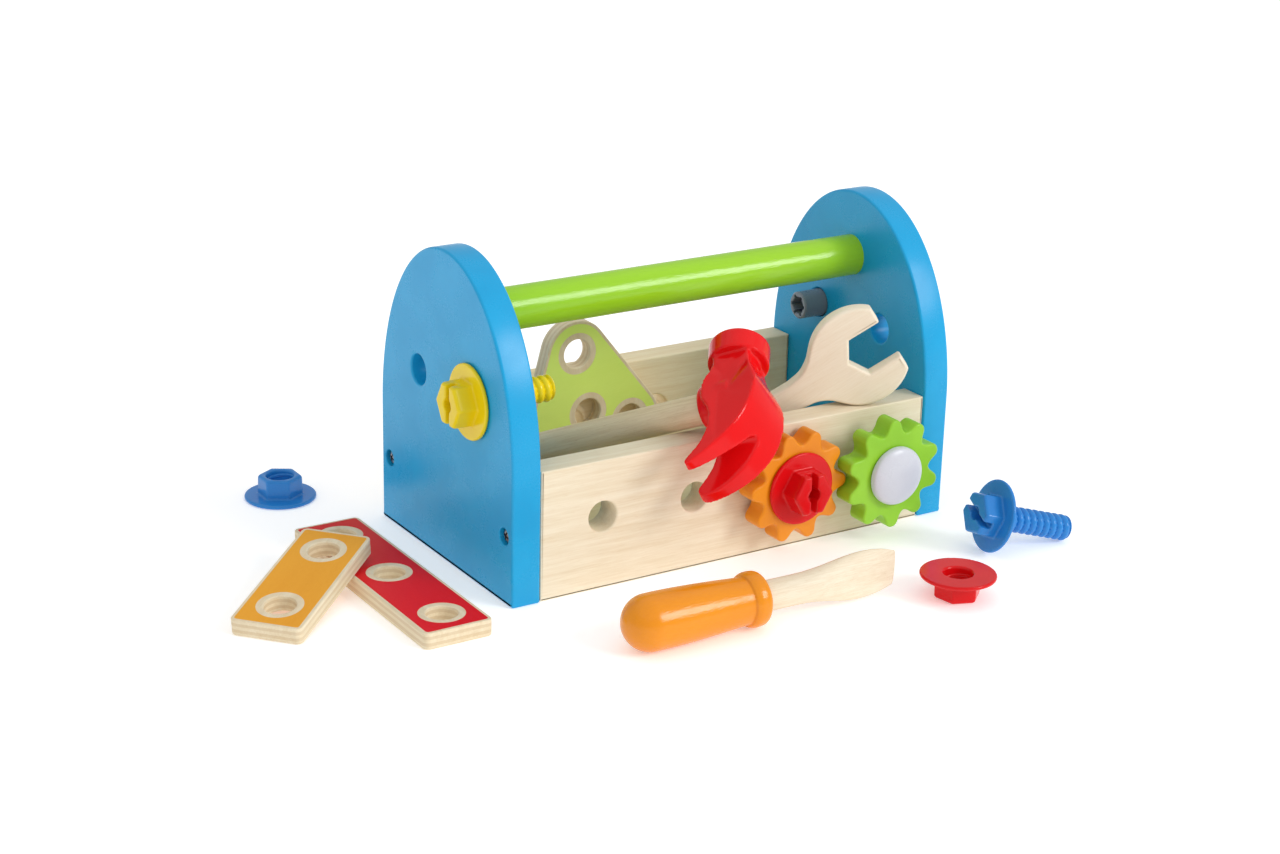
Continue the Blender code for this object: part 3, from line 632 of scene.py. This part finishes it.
def makeThreadTree():
    # A rod whose skin is lifted into one rounded helical ridge, with a tapered free end.
    tree, given, made = newTree("boltThread", [
        ("Length", "Float", 42.5), ("Crest", "Float", 6.5), ("Root", "Float", 5.0), ("Pitch", "Float", 4.0),
        ("Tip", "Float", 5.0), ("Around", "Int", 72), ("Rows", "Int", 150)])
    sheet = node(tree, "GeometryNodeMeshGrid", {"Size X": 1.0, "Size Y": 1.0, "Vertices X": given["Around"],
                 "Vertices Y": given["Rows"]}).outputs["Mesh"]
    spot = node(tree, "ShaderNodeSeparateXYZ", {0: wire(tree, "GeometryNodeInputPosition")})
    u = calc(tree, "ADD", spot.outputs[0], 0.5)
    v = calc(tree, "ADD", spot.outputs[1], 0.5)
    z = calc(tree, "MULTIPLY", v, given["Length"])
    phase = calc(tree, "SUBTRACT", calc(tree, "DIVIDE", z, given["Pitch"]), u)
    wave = calc(tree, "ABSOLUTE", calc(tree, "SINE", calc(tree, "MULTIPLY", phase, math.pi)))
    ridge = calc(tree, "POWER", wave, 0.6)
    depth = calc(tree, "SUBTRACT", given["Crest"], given["Root"])
    radius = calc(tree, "ADD", given["Root"], calc(tree, "MULTIPLY", depth, ridge))
    taper = calc(tree, "ADD", given["Tip"], calc(tree, "SUBTRACT", given["Length"], z))
    radius = calc(tree, "MINIMUM", radius, taper)
    inside = calc(tree, "MULTIPLY", calc(tree, "GREATER_THAN", v, 0.0001), calc(tree, "LESS_THAN", v, 0.9999))
    radius = calc(tree, "MULTIPLY", radius, inside)
    angle = calc(tree, "MULTIPLY", u, 2 * math.pi)
    x = calc(tree, "MULTIPLY", radius, calc(tree, "COSINE", angle))
    y = calc(tree, "MULTIPLY", radius, calc(tree, "SINE", angle))
    where = wire(tree, "ShaderNodeCombineXYZ", {0: x, 1: y, 2: z})
    bent = wire(tree, "GeometryNodeSetPosition", {"Geometry": sheet, "Position": where})
    joined = wire(tree, "GeometryNodeMergeByDistance", {"Geometry": bent, "Distance": 0.001})
    return endTree(tree, given, made, joined)


def makeBoreTree():
    # A round ridge that winds up the wall of a nut's bore.
    tree, given, made = newTree("boreThread", [
        ("Height", "Float", 10.0), ("Radius", "Float", 7.3), ("Ridge", "Float", 0.9), ("Turns", "Float", 2.5)])
    line = wire(tree, "GeometryNodeCurveSpiral", {"Resolution": 48, "Rotations": given["Turns"],
                "Start Radius": given["Radius"], "End Radius": given["Radius"],
                "Height": given["Height"]})
    ring = node(tree, "GeometryNodeCurvePrimitiveCircle", {"Resolution": 12, "Radius": given["Ridge"]})
    tube = wire(tree, "GeometryNodeCurveToMesh", {"Curve": line, "Profile Curve": ring.outputs[0],
                "Fill Caps": True})
    return endTree(tree, given, made, tube)


threadTree, boreTree = makeThreadTree(), makeBoreTree()


def mouldedHead(name, sign, taper, cuts):
    # A flange and hexagon that run towards sign from Z = 0, cut and melted into one skin.
    top, flats = sign * headHeight, fastener["hexFlats"]
    sections = []
    for wide, level in ((flats + 0.5, sign * 0.8), (flats + 0.1, top - sign * 1.2), (flats - taper, top)):
        corners = arc(0, 0, wide / math.sqrt(3), wide / math.sqrt(3), 0, 300, 5)
        sections.append([(x, y, level) for x, y in rounded(corners, 1.0, 3)])
    radius, thick = fastener["flangeRadius"] + 0.15, fastener["flangeThick"] + 0.1
    flange = turned([(0, 0), (radius - 0.4, 0), (radius, sign * 0.4), (radius, sign * (thick - 0.5)),
                     (radius - 0.5, sign * thick), (0, sign * thick)], 120)
    return carved(name, flange, [loft(sections)], cuts, fastener["voxel"], fastener["softening"])


def bolt(name, nodeName, finishName, direction, origin, spin=0.0):
    width, deep = fastener["slotWidth"], fastener["slotDepth"]
    centre, sunk = fastener["centreRadius"], fastener["centreDepth"]
    groove = prism(rectangle(-width / 2, -25, width / 2, 25), -headHeight - 2, -headHeight + deep)
    middle = turned([(centre, -headHeight - 2), (centre, -headHeight + sunk)], 40)
    head = mouldedHead(name, -1, 1.2, [groove, middle])
    thread = runTree(threadTree, f"{name}Thread", {
        "Length": fastener["threadLength"] + fastener["overlap"], "Crest": fastener["crest"],
        "Root": fastener["root"], "Pitch": fastener["pitch"], "Tip": fastener["tip"],
        "Finish": finish[finishName]})
    thread.transform(Matrix.Translation((0, 0, -fastener["overlap"])))
    finishPiece(name, merged(name, [(head, 0), (thread, 0)]), aimed(direction, origin, spin), nodeName,
                [nodeName], [finishName], sharp=60)


def nut(name, nodeName, finishName, direction, origin, spin):
    bore, wider = fastener["bore"], fastener["bore"] + 0.6
    hole = turned([(wider, -2), (wider, 0.2), (bore, 0.8), (bore, headHeight - 0.8),
                   (wider, headHeight - 0.1), (wider, headHeight + 2)], 60)
    shell = mouldedHead(name, 1, 1.4, [hole])
    rise = headHeight - 3.2
    coil = runTree(boreTree, f"{name}Thread", {
        "Height": rise, "Radius": bore + 0.45, "Ridge": 0.95, "Turns": rise / fastener["pitch"],
        "Finish": finish[finishName]})
    coil.transform(Matrix.Translation((0, 0, 1.6)))
    finishPiece(name, merged(name, [(shell, 0), (coil, 0)]), aimed(direction, origin, spin, up=(0, 1, 0)),
                nodeName, [nodeName], [finishName], sharp=60)


outside = box["halfLength"] + 0.3
panelY, panelZ, boardZ = box["panelHoleY"], box["panelHoleZ"], box["boardHoleZ"]
gearX = [0.5 * box["pitch"], 1.5 * box["pitch"]]
bolt("yellowBolt", "yellow_bolt", "yellowPlastic", (1, 0, 0), (-outside, -panelY, panelZ))
bolt("redBolt", "red_bolt", "redPlastic", (0, 1, 0), (gearX[0], -79.3, boardZ))
# the blue bolt lies on its flange's rim and its thread's tip
rimRadius = fastener["flangeRadius"]
tilt = math.asin((rimRadius - fastener["crest"]) / fastener["threadLength"])
level = Vector((0.983, -0.184, 0)).normalized()
down = level * math.cos(tilt) - Vector((0, 0, math.sin(tilt)))
across = (level * math.sin(tilt) + Vector((0, 0, math.cos(tilt)))) * rimRadius
bolt("blueBolt", "blue_bolt", "bluePlastic", down, Vector((111.2, -117.0, 0)) + across, -73)
nut("blueNut", "blue_nut", "bluePlastic", (0, 0, 1), (-159.7, 112.3, 0), 30)
nut("redNut", "red_nut", "redPlastic", (0, 0, -1), (64, -154, 12.1), 20)
print("bolts and nuts ready")


# Pegs

peg = {"capRadius": 14.8, "rim": 2.4, "dome": 3.6, "stemRadius": 7.1, "stemLength": 28.6, "hollowRadius": 4.4,
       "hollowDepth": 10.0, "notches": 6, "notchWidth": 1.8, "notchDepth": 6.0}


def makePeg(name, nodeName, direction, origin):
    cap, rim, end, stem = peg["capRadius"], peg["rim"], peg["stemLength"], peg["stemRadius"]
    hollow, floorAt, notch = peg["hollowRadius"], peg["stemLength"] - peg["hollowDepth"], peg["notchWidth"] / 2
    dome = [(cap * 0.985 * math.sin(a), -rim - peg["dome"] * math.cos(a)) for a in
            (math.pi / 2 * k / 16 for k in range(17))]
    profile = dome + [(cap, -rim + 0.4), (cap, -0.5), (cap - 0.5, 0), (stem + 0.3, 0), (stem, 0.4),
                      (stem, end - 0.8), (stem - 0.7, end), (hollow + 0.4, end), (hollow, end - 0.5),
                      (hollow, floorAt), (0, floorAt)]
    cuts = []
    for k in range(peg["notches"]):
        cut = prism(rectangle(hollow - 1.5, -notch, hollow + 1.3, notch), end - peg["notchDepth"], end + 2)
        cut.transform(Matrix.Rotation(2 * math.pi * k / peg["notches"], 4, "Z"))
        cuts.append(cut)
    shape = carved(name, turned(profile, 96), cut=cuts)
    # the stem's faces take the darker grey copy: painted shade on the stem
    for polygon in shape.polygons:
        polygon.material_index = 1 if polygon.center.z > 0.1 else 0
    finishPiece(name, shape, aimed(direction, origin), nodeName, [nodeName],
                ["greyPlastic", "stemPlasticPaintedShade"])


makePeg("frontPeg", "front_peg", (0, 1, 0), (gearX[1], -87.3, boardZ))
makePeg("rightPeg", "right_peg", (-1, 0, 0), (outside, panelY, panelZ))
print("pegs ready")


# Gears: a tree repeats one tooth round the axis

# flank is (radius, degrees from the tooth's middle), from the valley to the tip
gear = {"teeth": 10, "thick": 11.5, "bore": 7.5, "rounding": 1.1, "boreRounding": 0.9,
        "flank": [(21.5, 18.0), (21.7, 16.0), (22.3, 13.7), (23.3, 11.3), (24.6, 9.4), (25.6, 8.1),
                  (26.6, 6.6), (27.4, 4.6), (27.9, 2.3), (28.0, 0.0)]}


def makeGearTree():
    tree, given, made = newTree("gearTeeth", [("Teeth", "Int", 10)])
    points = wire(tree, "GeometryNodePoints", {"Count": given["Teeth"]})
    step = calc(tree, "DIVIDE", 2 * math.pi, given["Teeth"])
    angle = calc(tree, "MULTIPLY", wire(tree, "GeometryNodeInputIndex"), step)
    turn = wire(tree, "ShaderNodeCombineXYZ", {2: angle})
    ring = wire(tree, "GeometryNodeInstanceOnPoints", {"Points": points, "Instance": given["Geometry"],
                "Rotation": turn})
    real = wire(tree, "GeometryNodeRealizeInstances", {"Geometry": ring})
    joined = wire(tree, "GeometryNodeMergeByDistance", {"Geometry": real, "Distance": 0.01})
    return endTree(tree, given, made, joined)


def toothSector():
    # One tooth with its share of the rim and bore, open where it meets its neighbours.
    side = smoothLine([(r, -math.radians(a)) for r, a in gear["flank"]], 4)
    polar = side + [(r, -a) for r, a in reversed(side[:-1])]
    outer = [Vector((r * math.cos(a), r * math.sin(a))) for r, a in polar]
    ways = []
    for k, spot in enumerate(outer):
        if k in (0, len(outer) - 1):
            ways.append(spot.normalized())
        else:
            along = outer[k + 1] - outer[k - 1]
            ways.append(Vector((along.y, -along.x)).normalized())
    bore = [Vector((math.cos(a), math.sin(a))) for _, a in polar]
    made = bmesh.new()
    rims = [[made.verts.new((*(p - w * inset), z)) for p, w in zip(outer, ways)]
            for inset, z in edgeLevels(0, gear["thick"], gear["rounding"], 4, 0.35)]
    walls = [[made.verts.new((*(w * (gear["bore"] + inset)), z)) for w in bore]
             for inset, z in edgeLevels(0, gear["thick"], gear["boreRounding"], 3, 0.35)]
    strips = [*zip(rims, rims[1:]), *zip(walls[1:], walls), (walls[0], rims[0]), (rims[-1], walls[-1])]
    for low, high in strips:
        for k in range(len(outer) - 1):
            made.faces.new((low[k], low[k + 1], high[k + 1], high[k]))
    return toMesh(made, "toothSector")


gearTree = makeGearTree()


def makeGear(name, nodeName, finishName, x, front, phase):
    wheel = runTree(gearTree, name, {"Teeth": gear["teeth"], "Finish": finish[finishName]}, toothSector())
    place = axes((1, 0, 0), (0, 0, 1), (0, -1, 0), (x, front + gear["thick"], box["boardHoleZ"]))
    place = place @ Matrix.Rotation(math.radians(phase), 4, "Z")
    finishPiece(name, wheel, place, nodeName, [nodeName], [finishName])


makeGear("orangeGear", "orange_gear", "orangeGearPaint", gearX[0], -79.0, -1.6)
makeGear("greenGear", "green_gear", "greenGearPaint", gearX[1], -87.0, 19.6)
print("gears ready")


# Plywood bars and triangle, with printed faces that leave each hole a bare ring

plates = {"thick": 8.0, "halfWidth": 17.2, "corner": 3.0, "hole": 7.5, "rounding": 0.5, "holeRounding": 0.6,
          "printInset": 1.6, "bareRing": 10.9, "printThick": 0.05, "longPitch": 52.0, "shortPitch": 49.6}


def printedPlate(name, nodeName, outline, printOutline, holes, place, printName):
    thick, film = plates["thick"], plates["printThick"]
    body = plate(outline, [circle(x, y, plates["hole"]) for x, y in holes], 0, thick, plates["rounding"],
                 plates["holeRounding"])
    rings = [circle(x, y, plates["bareRing"], 64) for x, y in holes]
    faces = [plate(printOutline, rings, low, high, 0.03, 0.03, 1, 1, 0.05)
             for low, high in ((thick - 0.2, thick + film), (-film, 0.2))]
    mesh = merged(name, [(body, 0), (faces[0], 1), (faces[1], 1)])
    finishPiece(name, mesh, place, nodeName, [nodeName], ["plateWood", printName])


def bar(name, nodeName, count, pitch, place, printName):
    half = (count - 1) * pitch / 2
    inner = plates["halfWidth"] - plates["corner"]
    core = rectangle(-inner, -half - inner, inner, half + inner)
    holes = [(0, k * pitch - half) for k in range(count)]
    printedPlate(name, nodeName, offsetOutline(core, plates["corner"]),
                 offsetOutline(core, plates["corner"] - plates["printInset"]), holes, place, printName)


bar("redBar", "red_bar", 3, plates["longPitch"], Matrix.Translation((-163, -17, 0)), "redPrint")
lean = math.radians(8.1)
along = Vector((0.749, 0.663, 0)).normalized()
slope = along * math.cos(lean) + Vector((0, 0, math.sin(lean)))
side = along.cross(Vector((0, 0, 1)))
middle = Vector((-236.3, -41.6, 0)) + slope * (plates["shortPitch"] / 2 + plates["halfWidth"])
place = axes(side, slope, side.cross(slope), middle)
bar("orangeBar", "orange_bar", 2, plates["shortPitch"], place, "orangePrint")

triangle = {"apex": (-27.5, 49.7, 76.6), "turn": 12.0, "apexAngle": 54.0, "side": 51.0, "middleHole": 33.3}
half = math.radians(triangle["apexAngle"] / 2)
low, wide = -triangle["side"] * math.cos(half), triangle["side"] * math.sin(half)
corners = [(-wide, low), (wide, low), (0, 0)]
place = axes((1, 0, 0), (0, 0, 1), (0, -1, 0), triangle["apex"])
printedPlate("trianglePlate", "triangle_plate", offsetOutline(corners, plates["halfWidth"], 24),
             offsetOutline(corners, plates["halfWidth"] - plates["printInset"], 24),
             corners + [(0, -triangle["middleHole"])],
             place @ Matrix.Rotation(math.radians(triangle["turn"]), 4, "Z"), "limePrint")
print("plates ready")


# Wrench

wrench = {"origin": (75.3, -63.8, 92.6), "yaw": 30.0, "jawAngle": 34.0, "handleAngle": 213.0, "thick": 9.0,
          "headRadius": 24.9, "jawFlats": 20.3, "headBack": -5.7, "prongEnd": 11.5, "handleHalf": 7.0,
          "handleLength": 132.0, "rounding": 1.3}


def wrenchOutline():
    # Drawn with the jaw opening along +X and its centre at the origin.
    radius, back, end, half = wrench["headRadius"], wrench["headBack"], wrench["prongEnd"], wrench["handleHalf"]
    opening = math.degrees(math.acos((end - back) / radius))
    way = wrench["handleAngle"] - wrench["jawAngle"]
    turn = math.radians(way)

    def fromHandle(x, y):
        y += 1.2
        return (back + x * math.cos(turn) - y * math.sin(turn), x * math.sin(turn) + y * math.cos(turn))

    shaftEnd = [fromHandle(x, y) for x, y in arc(wrench["handleLength"] - half, 0, half, half, -90, 90, 24)]
    corners = [((end, radius * math.sin(math.radians(opening))), 1.6)]
    corners += [(point, 0) for point in arc(back, 0, radius, radius, opening + 4, way - 44, 40)]
    corners += [(fromHandle(radius - 1.6, -12.4), 14), (fromHandle(radius + 4, -8.4), 14),
                (fromHandle(radius + 12, -half), 20)]
    corners += [(point, 0) for point in shaftEnd]
    corners += [(fromHandle(radius + 12, half), 20), (fromHandle(radius + 4, half + 0.6), 14),
                (fromHandle(radius - 1.6, half + 3.6), 14)]
    corners += [(point, 0) for point in arc(back, 0, radius, radius, way + 42, 356 - opening, 40)]
    corners += [((end, -radius * math.sin(math.radians(opening))), 1.6)]
    flat, point = wrench["jawFlats"] / 2, wrench["jawFlats"] / math.sqrt(3)
    corners += [((end, -flat), 1.0), ((-point / 2, -flat), 0.8), ((-point, 0), 0.8),
                ((-point / 2, flat), 0.8), ((end, flat), 1.0)]
    return rounded([corner for corner, _ in corners], [radius for _, radius in corners], 6)


yaw = math.radians(wrench["yaw"])
right = Vector((math.cos(yaw), -math.sin(yaw), 0))
place = axes(right, (0, 0, 1), right.cross(Vector((0, 0, 1))), wrench["origin"])
place = place @ Matrix.Rotation(math.radians(wrench["jawAngle"]), 4, "Z")
finishPiece("openWrench", plate(wrenchOutline(), [], -wrench["thick"], 0, wrench["rounding"]), place,
            "wrench", ["wrench"], ["toolWood"])
print("wrench ready")


# Hammer

hammer = {"origin": (-6.0, -67.8, 81.7), "handleWay": (-0.633, 0.694, -0.344),
          "strikeWay": (0.526, 0.711, 0.466), "halfWidth": 13.0, "discRadius": 14.8, "discLow": 22.5,
          "discHigh": 35.0, "handleRadius": 7.5, "handleStart": 2.0, "handleEnd": 122.0, "waist": 0.2,
          "voxel": 0.5, "softening": 14}


def hammerHead():
    # each row is a point of the outline at one cheek and the same point at the other
    fine = smoothLine([(-9.5, 23, -9, 22), (-11.5, 14.5, -10.2, 14), (-15.5, 7, -13, 6.4),
                       (-18.8, -1, -14.6, 0), (-19.8, -9, -13.4, -8.6), (-19.2, -17.5, -12, -13.6),
                       (-16.8, -26, -9.8, -19.2), (-12.8, -33, -6, -25.4), (-6.6, -39.6, -2.1, -29.9),
                       (0.6, -44.2, 2.4, -34.2), (8, -47.2, 7.6, -39), (15, -48.5, 12.6, -42.4),
                       (18.4, -47.2, 16.1, -44.4), (19.9, -44.6, 18.2, -44.0), (18.6, -42, 17.4, -41.8),
                       (15.2, -38.8, 15.2, -38.8), (11.6, -34, 11.6, -34), (9.3, -28.5, 9.3, -28.5),
                       (7.8, -22.5, 7.8, -22.5), (7.9, -17, 7.9, -17), (9.6, -11, 9.4, -11),
                       (12.6, -6, 12, -6), (14, -0.5, 13, -0.5), (12.8, 6, 12, 6), (10.4, 11, 10, 11),
                       (9.4, 16, 9, 16), (9.5, 23, 9, 22)], 4)
    half = hammer["halfWidth"]
    sections = []
    for k in range(25):
        w = -half * math.cos(math.pi * k / 24)
        t = (1 - w / half) / 2
        ring = [(a + (c - a) * t, b + (d - b) * t) for a, b, c, d in fine]
        sections.append([(x, y, w * (1 - hammer["waist"] * min(max((y - 9) / 8, 0), 1))) for x, y in ring])
    claws = loft(sections)
    r, low, high = hammer["discRadius"], hammer["discLow"], hammer["discHigh"]
    disc = turned([(8, low - 12), (10.5, low - 6), (10.5, low), (r, low + 0.4), (r + 0.1, high - 1.2),
                   (r - 1, high)], 96)
    disc.transform(Matrix.Rotation(math.radians(-90), 4, "X"))
    socket = turned([(12.2, 0), (12.0, 9), (10.6, 15.2), (9.6, 16.4)], 72)
    bore = turned([(hammer["handleRadius"] + 0.25, 1.7), (hammer["handleRadius"] + 0.25, 60)], 72)
    for solid in (socket, bore):
        solid.transform(Matrix.Rotation(math.radians(90), 4, "Y"))
    notch = prism([(-25.4, 0), (-27, 2.2), (-52, 9.4), (-52, -9.4), (-27, -2.2)], -40, 40)
    notch.transform(Matrix(((0, 0, 1, 0), (1, 0, 0, 0), (0, 1, 0, 0), (0, 0, 0, 1))))
    bmesh.ops.recalc_face_normals(notch, faces=notch.faces)
    return carved("hammerHead", claws, [disc, socket], [notch, bore], hammer["voxel"], hammer["softening"])


alongHandle = Vector(hammer["handleWay"]).normalized()
strike = Vector(hammer["strikeWay"])
strike = (strike - strike.dot(alongHandle) * alongHandle).normalized()
place = axes(alongHandle, strike, alongHandle.cross(strike), hammer["origin"])
finishPiece("hammerHead", hammerHead(), place, "hammer", ["hammer_head"], ["hammerPlastic"], 180)
r, end = hammer["handleRadius"], hammer["handleEnd"]
stick = [(r - 0.3, hammer["handleStart"]), (r, hammer["handleStart"] + 0.3), (r, 40), (r, 80), (r, end - 5)]
stick += smoothLine([(r, end - 4.8), (r * 0.93, end - 2.2), (r * 0.78, end - 0.8), (r * 0.45, end - 0.1),
                     (0, end)], 4)
finishPiece("hammerHandle", turned(stick, 72), place @ Matrix.Rotation(math.radians(90), 4, "Y"), "hammer",
            ["hammer_handle"], ["handleWood"])
print("hammer ready")


# Screwdriver

driver = {"end": (-106.5, -132.5, 13.2), "way": (1, -0.025, 0), "roll": 2.0, "radius": 13.2, "neck": 11.2,
          "collar": 12.9, "handleLength": 72.0, "bladeStart": 52.0, "bladeRadius": 7.2}
place = aimed(driver["way"], driver["end"], driver["roll"])
r, neck, collar, length = driver["radius"], driver["neck"], driver["collar"], driver["handleLength"]
dome = [(r * math.sin(a), 13 - 13 * math.cos(a)) for a in (math.pi / 2 * k / 18 for k in range(19))]
waist = smoothLine([(r, 13), (r, 20), (12.95, 30), (12.5, 40), (11.9, 50), (neck, 60), (neck, 61.8)], 5)[1:]
lip = smoothLine([(neck, 62), (neck + 0.4, 62.4), (collar - 0.7, 63), (collar, 65), (collar, 68),
                  (collar - 0.6, 70), (collar - 2.2, 71.4), (collar - 4, length)], 4)
bore = driver["bladeRadius"] + 0.25
grip = turned(dome + waist + lip + [(bore, length), (bore, driver["bladeStart"] - 0.3)], 96)
finishPiece("screwdriverHandle", grip, place, "screwdriver", ["screwdriver_handle"],
            ["driverPaint"])
# distance along the tool, half width and half thickness
stations = smoothLine([(52, 7.2, 7.2), (72, 7.2, 7.2), (92, 7.2, 7.2), (100, 7.9, 6.6), (108, 9.4, 5.6),
                       (116, 11, 4.8), (124, 12, 4), (131, 12, 3.2), (138, 11.1, 2.4), (143, 9.7, 1.8)], 5)
stations += [(145.2, 8.95, 1.5), (145.8, 8.7, 1.2), (146, 8.4, 0.8)]
blade = loft([[(x * thick, y * width, distance) for x, y in circle(0, 0, 1, 64)]
              for distance, width, thick in stations])
finishPiece("screwdriverBlade", blade, place, "screwdriver", ["screwdriver_blade"], ["bladeWood"])
print("screwdriver ready")


# Floor, light and camera

studio = {"sky": 0.62, "keyStrength": 1.25, "keySpread": 24.0, "keyWay": (-0.5, 0.72, -0.5),
          "topStrength": 0.45, "topSpread": 100.0, "topWay": (0.05, 0.15, -1.0), "floorReach": 20,
          "floorLevel": -0.0002}
floorMesh = bpy.data.meshes.new("floorSweep")
reach, level = studio["floorReach"], studio["floorLevel"]
floorMesh.from_pydata([(x, y, level) for x, y in rectangle(-reach, -reach, reach, reach)], [], [(0, 1, 2, 3)])
floorMesh.materials.append(finish["floorSweep"])
inScene("floorSweep", floorMesh)

world = bpy.data.worlds.new("studioSky")
world.use_nodes = True
sky = world.node_tree.nodes["Background"]
sky.inputs["Color"].default_value = (1, 1, 1, 1)
sky.inputs["Strength"].default_value = studio["sky"]
bpy.context.scene.world = world
bpy.context.scene.view_settings.view_transform = "Standard"
for name in ("key", "top"):
    lamp = bpy.data.lights.new(f"{name}Light", "SUN")
    lamp.energy = studio[f"{name}Strength"]
    lamp.angle = math.radians(studio[f"{name}Spread"])
    light = inScene(f"{name}Light", lamp)
    light.rotation_euler = Vector(studio[f"{name}Way"]).to_track_quat("-Z", "Y").to_euler()

view = {"place": (-0.626886, -0.951600, 0.459742), "azimuth": 32.710, "down": 19.969, "roll": 1.475,
        "lens": 68.35}
a, p, t = (math.radians(view[key]) for key in ("azimuth", "down", "roll"))
ahead = Vector((math.sin(a) * math.cos(p), math.cos(a) * math.cos(p), -math.sin(p)))
right = Vector((math.cos(a), -math.sin(a), 0))
up = right.cross(ahead)
level, rise = math.cos(t) * right + math.sin(t) * up, -math.sin(t) * right + math.cos(t) * up
lens = bpy.data.cameras.new("benchCamera")
lens.lens, lens.sensor_width = view["lens"], 36.0
camera = inScene("benchCamera", lens)
camera.matrix_world = axes(level, rise, -ahead, view["place"])
bpy.context.scene.camera = camera
print("studio ready")
